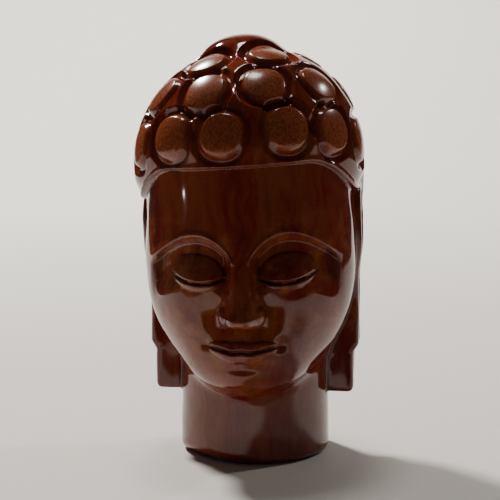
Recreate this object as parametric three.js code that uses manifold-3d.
import * as THREE from "three";
import { mergeVertices } from "three/addons/utils/BufferGeometryUtils.js";
import Module from "manifold-3d";

// A small head carved in one piece from red-brown stone and polished all over.
// It stands on its own short neck. Millimetres: +Z is up and the face looks along -Y.

const wasm = await Module();
wasm.setup();

// Driving dimensions: heights are measured from the flat underside of the neck.
const HAIRLINE_Z = 57.4;
const CHIN_Z = 14.5;
const FACE_WIDTH = 40.0;
const AXIS_Y = 0.5;

// The rounded masses that the head is roughed out from, melted into each other.
const MASSES = [
  { centre: [0, 0.5, 58.5], radii: [19.9, 21.5, 18.4] },
  { centre: [0, -0.3, 46.2], radii: [18.6, 20.4, 21.0] },
  { centre: [0, -5.2, 36.2], radii: [19.6, 16.3, 22.0] },
  { centre: [0, 5.0, 39.2], radii: [17.6, 14.5, 27.0] },
  { centre: [0, -12.4, 22.2], radii: [10.4, 8.8, 8.0] },
];
const MASS_MELT = 6.0;

// The hair stands proud of the skin behind a crisp lower edge, and swells above it to its full depth,
// which leaves a smooth sloping rim under the curls.
const HAIR = { edge: 1.1, edgeLow: -0.3, edgeHigh: 0.35, swell: 0.85, swellFrom: 0.6, swellFull: 4.0 };
const TEMPLE = { drop: 6.8, from: 35, to: 85 };
const NAPE = { drop: 21.0, from: 92, to: 128 };

// Flat oval curls in level rings, each cut free by a groove all round it, flush with the hair between
// them. Each ring: height in front, fall to the back, count round the head, angle of the first curl
// from the front, half the width and height of one curl, and for the low rings the angle behind
// which they start.
const CURL_RINGS = [
  { height: 76.9, fall: 1.6, count: 5, first: 36.0, wide: 4.1, tall: 3.6, behind: 0 },
  { height: 72.1, fall: 5.0, count: 9, first: 19.0, wide: 4.1, tall: 4.2, behind: 0 },
  { height: 64.1, fall: 8.4, count: 12, first: 24.0, wide: 4.1, tall: 4.25, behind: 0 },
  { height: 54.6, fall: 9.0, count: 12, first: 39.0, wide: 4.0, tall: 4.1, behind: 124 },
  { height: 45.2, fall: 9.4, count: 12, first: 24.0, wide: 3.9, tall: 4.0, behind: 124 },
];
const CURL_CLEARANCE = 2.1;
const CURL_SIDES = 9;

// The groove round a curl: how far its bottom lies outside the curl's edge and how deep, how far its
// two walls open for each millimetre of height, and how far above the hair its cutter reaches.
const GROOVE = { bottom: 0.45, deep: 1.0, innerSlope: 0.7, outerSlope: 1.0, above: 0.6 };

// Hand work: how far a curl strays from its even place, and how fast that changes from curl to curl.
const STRAY_TURN = { most: 2.0, pace: 67.9 };
const STRAY_RISE = { most: 0.45, pace: 83.8 };
const STRAY_SIZE = { most: 0.05, pace: 37.7 };
const STRAY_ROLL = { most: 10, pace: 53.1 };

// The low dome on the crown.
const DOME = { centre: [-0.7, 0.8, 75.3], radii: [8.6, 8.4, 5.9], sides: 18, rings: 10 };

// The neck: an upright oval that flares slightly and is rounded at its lower edge, with one flat
// place ground on that edge at the front.
const NECK = { wide: 14.2, deep: 14.4, middleY: 1.5, top: 30, flare: 0.45, flareLow: 5.0, flareTop: 10.0 };
const NECK_EDGE = 1.9;
const NECK_EDGE_STEPS = 3;
const NECK_SIDES = 30;
const FLAT = { turn: -42, dip: 42, reach: 9.5, block: 20 };

// The long ears: a round upper ear, a straight lobe below it and a flat-cut tab at the end.
const EAR = { top: 51.8, low: 12.0, radius: 5.7, lobeHalf: 3.7, narrowing: 0.55, middleY: 3.6, slant: 1.2 };
const EAR_STEPS = [
  { from: 12.0, face: 19.4 },
  { from: 20.6, face: 20.4 },
  { from: 36.7, face: 21.2 },
];
const EAR_SOFTENING = 0.5;
const EAR_SIDE_STEPS = 4;
const EAR_ARC_STEPS = 7;
const EAR_HOLLOW = { from: 27.7, rim: 1.7, floor: 19.9, cut: 6 };

// The head leans a little to one side above the neck, and its rows of curls, brow and eyes are tilted
// rather more, as the carver left them.
const LEAN = { side: 1.7, tilt: 4.2, from: 16.2, full: 66.2 };

// How finely the head is faceted: rays from a core on the axis find its surface.
const COLUMNS = 51;
const FRONT_CLOSENESS = 1.4;
const HAIR_ROWS = 6;
const RIM_ROWS = [HAIR.swellFull, (HAIR.swellFrom + HAIR.swellFull) / 2, HAIR.edgeHigh];
const FACE_ROWS = 24;
const UNDER_ROWS = 4;
const UNDER_Z = 17;
const CORE = { z: 41, up: 10, down: 14, near: 5, far: 60 };
const HALVINGS = 24;
const FEELER = 0.05;

// Face canon: hairline to brow, brow to nose base and nose base to chin are equal thirds,
// and the face is five eyes wide.
const THIRD = (HAIRLINE_Z - CHIN_Z) / 3;
const BROW_Z = HAIRLINE_Z - THIRD;
const NOSE_BASE_Z = BROW_Z - THIRD;
const EYE_X = FACE_WIDTH / 5;
const EYE_Z = BROW_Z - THIRD / 3;
const MOUTH_Z = NOSE_BASE_Z - THIRD / 3;
const MOUTH_HALF = EYE_X * 0.8;

// Sizes of the features on the face, in x outwards and z upwards, with how far each one rises.
const FACE_EDGE = { from: -3, full: -9 };
const NOSE = { root: BROW_Z - 1.5, tip: NOSE_BASE_Z + 1.6, low: NOSE_BASE_Z - 0.5, bridge: 1.3, rise: 3.9 };
const NOSE_SIDE = { half: 1.9, flare: 1.2, inner: 0.3, outer: 1.7, fadeTop: 6, fadeLow: -1 };
const NOSTRIL = { x: 2.75, z: NOSE_BASE_Z + 1.75, half: 1.75, tall: 2.1, rise: 2.9 };
const BROW = { inner: 1.6, outer: 17.6, low: 2.9, arch: 4.9, depth: 1.75, edge: 1.7, floor: 4, reach: 9.5 };
const BROW_ENDS = { innerFull: 3.2, outerFull: 14.8, outerNone: 18.3 };
const EYE = { x: EYE_X + 0.25, half: 5.1, lid: EYE_Z - 1.75, tall: 5.0, low: 1.9, rise: 1.75, lowRise: 1.3 };
const LIPS = { upper: 1.9, lower: 2.35, upperRise: 0.95, lowerRise: 1.25, smile: 0.55 };
const MUZZLE = { half: 7.5, tall: 5.2, rise: 1.1 };
const CHIN = { z: CHIN_Z + 3.2, half: 4.2, tall: 2.5, rise: 1.0 };
const CHEEK = { x: 11, z: NOSE_BASE_Z + 2, half: 5, tall: 5, rise: 0.9 };

function clamp(value) {
  return Math.min(Math.max(value, 0), 1);
}

function ease(from, to, value) {
  const t = clamp((value - from) / (to - from));
  return t * t * (3 - 2 * t);
}

function bell(value) {
  return Math.exp(-value * value);
}

// Height of a round swelling at a distance from its middle, counted in its own half width.
function swell(distance) {
  return Math.sqrt(1 - clamp(Math.abs(distance)) ** 2);
}

function melt(a, b, reach) {
  const h = Math.max(reach - Math.abs(a - b), 0) / reach;
  return Math.min(a, b) - (h * h * reach) / 4;
}

function ovalDistance(point, { centre, radii }) {
  const q = point.map((value, i) => (value - centre[i]) / radii[i]);
  const near = Math.hypot(...q);
  const slope = Math.hypot(...q.map((value, i) => value / radii[i]));
  return (near * (near - 1)) / slope;
}

function skull(point) {
  return MASSES.map((mass) => ovalDistance(point, mass)).reduce((a, b) => melt(a, b, MASS_MELT));
}

// Angle round the head from the middle of the face.
function bearing([x, y]) {
  return Math.atan2(x, AXIS_Y - y);
}

// The hairline is level over the forehead, drops at the temples and falls behind the ears to the nape.
function hairlineAt(angle) {
  const turn = Math.abs(THREE.MathUtils.radToDeg(angle));
  const temple = TEMPLE.drop * ease(TEMPLE.from, TEMPLE.to, turn);
  return HAIRLINE_Z - temple - NAPE.drop * ease(NAPE.from, NAPE.to, turn);
}

function hairRise(point) {
  const up = point[2] - hairlineAt(bearing(point));
  const edge = HAIR.edge * ease(HAIR.edgeLow, HAIR.edgeHigh, up);
  return edge + HAIR.swell * ease(HAIR.swellFrom, HAIR.swellFull, up);
}

// A rounded swelling that fades out all round from its middle.
function mound(x, z, { half, tall, rise }) {
  return rise * bell(x / half) * bell(z / tall);
}

function noseRise(x, z) {
  const down = clamp((NOSE.root - z) / (NOSE.root - NOSE.tip));
  const ridge = (NOSE.bridge + NOSE.rise * down) * swell(Math.max(NOSE.tip - z, 0) / (NOSE.tip - NOSE.low));
  const half = NOSE_SIDE.half + NOSE_SIDE.flare * down ** 2;
  const side = ease(half * NOSE_SIDE.outer, half * NOSE_SIDE.inner, x);
  const fade = ease(NOSE.root + NOSE_SIDE.fadeTop, NOSE.root + NOSE_SIDE.fadeLow, z);
  const wing = Math.hypot((x - NOSTRIL.x) / NOSTRIL.half, (z - NOSTRIL.z) / NOSTRIL.tall);
  return Math.max(ridge * fade * side, NOSTRIL.rise * swell(wing));
}

// The hollow of the eye lies under one arched brow line.
function socketRise(x, z) {
  const across = clamp((x - BROW.inner) / (BROW.outer - BROW.inner));
  const below = BROW_Z - BROW.low + BROW.arch * Math.sin(Math.PI * across) - z;
  const inner = ease(BROW.inner, BROW_ENDS.innerFull, x);
  const outer = ease(BROW_ENDS.outerNone, BROW_ENDS.outerFull, x);
  return -BROW.depth * inner * outer * ease(0, BROW.edge, below) * ease(BROW.reach, BROW.floor, below);
}

// A pair of rounded lids or lips that meet along a line: the height above the line picks one of them.
function foldRise(full, up, upper, lower) {
  if (full === 0) {
    return 0;
  }
  const [tall, rise] = up > 0 ? upper : lower;
  return rise * full * swell(up / (tall * full));
}

// The eye is all but closed: a full upper lid down to a low curved line, and a narrow lower lid.
function eyeRise(x, z) {
  const across = (x - EYE.x) / EYE.half;
  const up = z - EYE.lid - across ** 2;
  return foldRise(swell(across), up, [EYE.tall, EYE.rise], [EYE.low, EYE.lowRise]);
}

function lipsRise(x, z) {
  const across = clamp(x / MOUTH_HALF);
  const up = z - MOUTH_Z - LIPS.smile * across ** 2;
  return foldRise(swell(across), up, [LIPS.upper, LIPS.upperRise], [LIPS.lower, LIPS.lowerRise]);
}

function faceRise([side, y, z]) {
  const x = Math.abs(side);
  const features = noseRise(x, z) + socketRise(x, z) + eyeRise(x, z) + lipsRise(x, z);
  const jaw = mound(x, z - MOUTH_Z, MUZZLE) + mound(x, z - CHIN.z, CHIN);
  const fullness = jaw + mound(x - CHEEK.x, z - CHEEK.z, CHEEK);
  return ease(FACE_EDGE.from, FACE_EDGE.full, y) * (features + fullness);
}

// Below zero inside the head without its dome, ears and neck, and above zero outside.
function headForm(point) {
  return skull(point) - hairRise(point) - faceRise(point);
}

// The value where a rising test turns from false to true, by halving.
function halve(low, high, isPast) {
  let from = low;
  let to = high;
  for (let i = 0; i < HALVINGS; i += 1) {
    const middle = (from + to) / 2;
    if (isPast(middle)) {
      to = middle;
    } else {
      from = middle;
    }
  }
  return (from + to) / 2;
}

// Where a ray from the core leaves the head. The core slides along the axis with the ray's slope,
// so that the rays meet the tall head squarely.
function surfaceAt(angle, slope) {
  const rise = Math.sin(slope);
  const start = [0, AXIS_Y, CORE.z + rise * (rise > 0 ? CORE.up : CORE.down)];
  const way = [Math.cos(slope) * Math.sin(angle), -Math.cos(slope) * Math.cos(angle), rise];
  const at = (far) => start.map((value, i) => value + way[i] * far);
  return at(halve(CORE.near, CORE.far, (far) => headForm(at(far)) > 0));
}

function slopeAt(angle, height) {
  return halve(-Math.PI / 2, Math.PI / 2, (slope) => surfaceAt(angle, slope)[2] > height);
}

function evenSteps(from, to, count) {
  return Array.from({ length: count }, (_, i) => from + ((to - from) * i) / count);
}

// The slopes of one column's rays from the crown down: rows follow the rim of the hair all round.
function columnSlopes(angle) {
  const line = hairlineAt(angle);
  const rim = RIM_ROWS.map((up) => slopeAt(angle, line + up));
  const skin = slopeAt(angle, line + HAIR.edgeLow);
  const under = slopeAt(angle, UNDER_Z);
  const hair = evenSteps(Math.PI / 2, rim[0], HAIR_ROWS);
  const face = evenSteps(skin, under, FACE_ROWS);
  return [...hair, ...rim, ...face, ...evenSteps(under, -Math.PI / 2, UNDER_ROWS), -Math.PI / 2];
}

// A ball whose points are moved out to the head's surface, with its columns closer over the face.
function headBlank() {
  const rows = HAIR_ROWS + RIM_ROWS.length + FACE_ROWS + UNDER_ROWS;
  const ball = new THREE.SphereGeometry(1, COLUMNS, rows);
  for (let column = 0; column <= COLUMNS; column += 1) {
    const t = (2 * column) / COLUMNS - 1;
    const angle = FRONT_CLOSENESS * t + (Math.PI - FRONT_CLOSENESS) * t ** 3;
    columnSlopes(angle).forEach((slope, row) => {
      ball.attributes.position.setXYZ(row * (COLUMNS + 1) + column, ...surfaceAt(angle, slope));
    });
  }
  return ball;
}

function hairPoint(angle, height) {
  const at = (far) => [far * Math.sin(angle), AXIS_Y - far * Math.cos(angle), height];
  return at(halve(0, CORE.far, (far) => skull(at(far)) - hairRise(at(far)) > 0));
}

// The direction in which the skull faces at a point, felt by small steps along each axis.
function facing(point) {
  const slope = [0, 1, 2].map((axis) => {
    const shifted = (by) => point.map((value, i) => (i === axis ? value + by : value));
    return skull(shifted(FEELER)) - skull(shifted(-FEELER));
  });
  return new THREE.Vector3(...slope).normalize();
}

function stray({ most, pace }, number) {
  return most * Math.sin(pace * number);
}

// The closed section of the cutter for a groove round a curl. It falls away from the middle of the
// curl as the round head does.
function grooveSection(wide) {
  const [headRadius] = MASSES[0].radii;
  const corner = (past, height) => {
    const r = wide + GROOVE.bottom + past;
    return new THREE.Vector2(r, height - r ** 2 / (headRadius * 2));
  };
  const rise = GROOVE.deep + GROOVE.above;
  const bottom = corner(0, -GROOVE.deep);
  const outerTop = corner(GROOVE.outerSlope * rise, GROOVE.above);
  const innerTop = corner(-GROOVE.innerSlope * rise, GROOVE.above);
  return [bottom, outerTop, innerTop, bottom.clone()];
}

function curlGroove(angle, height, wide, tall, roll) {
  const out = facing(hairPoint(angle, height));
  const across = new THREE.Vector3(0, 0, 1).cross(out).normalize().applyAxisAngle(out, roll);
  const along = new THREE.Vector3().crossVectors(across, out);
  const ring = new THREE.LatheGeometry(grooveSection(wide), CURL_SIDES);
  ring.scale(1, 1, tall / wide);
  ring.applyMatrix4(new THREE.Matrix4().makeBasis(across, out, along));
  ring.translate(...hairPoint(angle, height));
  return ring;
}

function curlGrooves() {
  const made = [];
  let number = 0;
  for (const ring of CURL_RINGS) {
    for (let i = 0; i < ring.count; i += 1) {
      number += 1;
      const turn = THREE.MathUtils.euclideanModulo(ring.first + (i * 360) / ring.count + 180, 360) - 180;
      const angle = THREE.MathUtils.degToRad(turn);
      const height = ring.height - ring.fall * Math.sin(angle / 2) ** 2;
      const tooLow = height - ring.tall - CURL_CLEARANCE < hairlineAt(angle);
      if (Math.abs(turn) < ring.behind || (ring.behind > 0 && tooLow)) {
        continue;
      }
      const size = 1 + stray(STRAY_SIZE, number);
      made.push(
        curlGroove(
          angle + THREE.MathUtils.degToRad(stray(STRAY_TURN, number)),
          height + stray(STRAY_RISE, number),
          ring.wide * size,
          ring.tall * size,
          THREE.MathUtils.degToRad(stray(STRAY_ROLL, number)),
        ),
      );
    }
  }
  return made;
}

function dome() {
  const ball = new THREE.SphereGeometry(1, DOME.sides, DOME.rings);
  ball.rotateX(Math.PI / 2);
  ball.scale(...DOME.radii);
  ball.translate(...DOME.centre);
  return ball;
}

function neck() {
  const foot = NECK.wide + NECK.flare;
  const edge = evenSteps(0, Math.PI / 2, NECK_EDGE_STEPS).map(
    (t) => new THREE.Vector2(foot - NECK_EDGE * (1 - Math.sin(t)), NECK_EDGE * (1 - Math.cos(t))),
  );
  const section = [
    new THREE.Vector2(0, 0),
    ...edge,
    new THREE.Vector2(foot, NECK.flareLow),
    new THREE.Vector2(NECK.wide, NECK.flareTop),
    new THREE.Vector2(NECK.wide, NECK.top),
    new THREE.Vector2(0, NECK.top),
  ];
  const column = new THREE.LatheGeometry(section, NECK_SIDES);
  column.rotateX(Math.PI / 2);
  column.scale(1, NECK.deep / NECK.wide, 1);
  column.translate(0, NECK.middleY, 0);
  return column;
}

// A block whose inner face grinds the flat place on the neck's lower edge.
function flatCutter() {
  const turn = THREE.MathUtils.degToRad(FLAT.turn);
  const dip = THREE.MathUtils.degToRad(FLAT.dip);
  const level = Math.cos(dip);
  const out = new THREE.Vector3(Math.sin(turn) * level, -Math.cos(turn) * level, -Math.sin(dip));
  const block = new THREE.BoxGeometry(FLAT.block, FLAT.block, FLAT.block);
  block.translate(0, 0, FLAT.reach + FLAT.block / 2);
  block.applyQuaternion(new THREE.Quaternion().setFromUnitVectors(new THREE.Vector3(0, 0, 1), out));
  block.translate(0, NECK.middleY, 0);
  return block;
}

// The ear's outline seen from the side, cut off level at a height and drawn in by an inset.
function earOutline(low, inset) {
  const roundZ = EAR.top - EAR.radius;
  const radius = EAR.radius - inset;
  const edge = (z, side) => {
    const down = (roundZ - z) / (roundZ - EAR.low);
    const half = EAR.radius - (EAR.radius - EAR.lobeHalf) * ease(0, EAR.narrowing, down);
    return new THREE.Vector2(EAR.middleY - EAR.slant * down + side * (half - inset), z);
  };
  const around = (t) => new THREE.Vector2(EAR.middleY + radius * Math.cos(t), roundZ + radius * Math.sin(t));
  const heights = evenSteps(low, roundZ, EAR_SIDE_STEPS);
  const back = heights.map((z) => edge(z, 1));
  const arc = evenSteps(0, Math.PI, EAR_ARC_STEPS).map(around);
  const front = [...heights, roundZ].map((z) => edge(z, -1)).reverse();
  return new THREE.Shape([...back, ...arc, ...front]);
}

// Stands an extrusion of a side outline up along X, from one given place to another.
function acrossHead(outline, from, to, softening) {
  const slab = new THREE.ExtrudeGeometry(outline, {
    depth: to - from - 2 * softening,
    bevelEnabled: softening > 0,
    bevelSegments: 1,
    bevelSize: softening,
    bevelThickness: softening,
    bevelOffset: -softening,
  });
  slab.rotateX(Math.PI / 2);
  slab.rotateZ(Math.PI / 2);
  slab.translate(from + softening, 0, 0);
  return slab;
}

// Both ears at once: each step is one slab right through the head, which hides its middle.
function earSlabs() {
  return EAR_STEPS.map(({ from, face }) => acrossHead(earOutline(from, 0), -face, face, EAR_SOFTENING));
}

function earHollows() {
  const outline = earOutline(EAR_HOLLOW.from, EAR_HOLLOW.rim);
  const { floor, cut } = EAR_HOLLOW;
  return [acrossHead(outline, floor, floor + cut, 0), acrossHead(outline, -floor - cut, -floor, 0)];
}

function asSolid(geometry) {
  geometry.deleteAttribute("normal");
  geometry.deleteAttribute("uv");
  const merged = mergeVertices(geometry);
  return new wasm.Manifold(
    new wasm.Mesh({
      numProp: 3,
      vertProperties: Float32Array.from(merged.attributes.position.array),
      triVerts: Uint32Array.from(merged.index.array),
    }),
  );
}

function joined(geometries) {
  return geometries.map(asSolid).reduce((whole, piece) => whole.add(piece));
}

// Leans and tilts each point more and more towards the crown.
function lean(geometry) {
  const place = geometry.attributes.position;
  const side = Math.tan(THREE.MathUtils.degToRad(LEAN.side));
  const tilt = Math.tan(THREE.MathUtils.degToRad(LEAN.tilt));
  for (let i = 0; i < place.count; i += 1) {
    const { x, y, z } = new THREE.Vector3().fromBufferAttribute(place, i);
    const grown = ease(LEAN.from, LEAN.full, z);
    place.setXYZ(i, x - (z - LEAN.from) * side * grown, y, z + x * tilt * grown);
  }
}

function carvedHead() {
  const ears = joined(earSlabs()).subtract(joined(earHollows()));
  const hair = asSolid(headBlank()).subtract(joined(curlGrooves()));
  const head = hair.add(joined([neck(), dome()])).add(ears);
  const carved = head.subtract(asSolid(flatCutter())).getMesh();
  const geometry = new THREE.BufferGeometry();
  geometry.setAttribute("position", new THREE.BufferAttribute(carved.vertProperties, 3));
  geometry.setIndex(new THREE.BufferAttribute(carved.triVerts, 1));
  lean(geometry);
  geometry.computeBoundingBox();
  const middle = geometry.boundingBox.getCenter(new THREE.Vector3());
  geometry.translate(-middle.x, -middle.y, 0);
  geometry.computeVertexNormals();
  return geometry;
}

const stone = new THREE.MeshStandardMaterial({ color: 0x5a2614, roughness: 0.2, metalness: 0 });
stone.name = "red_jasper";

const head = new THREE.Mesh(carvedHead(), stone);
head.name = "buddha_head";

const group = new THREE.Group();
group.add(head);

export default group;
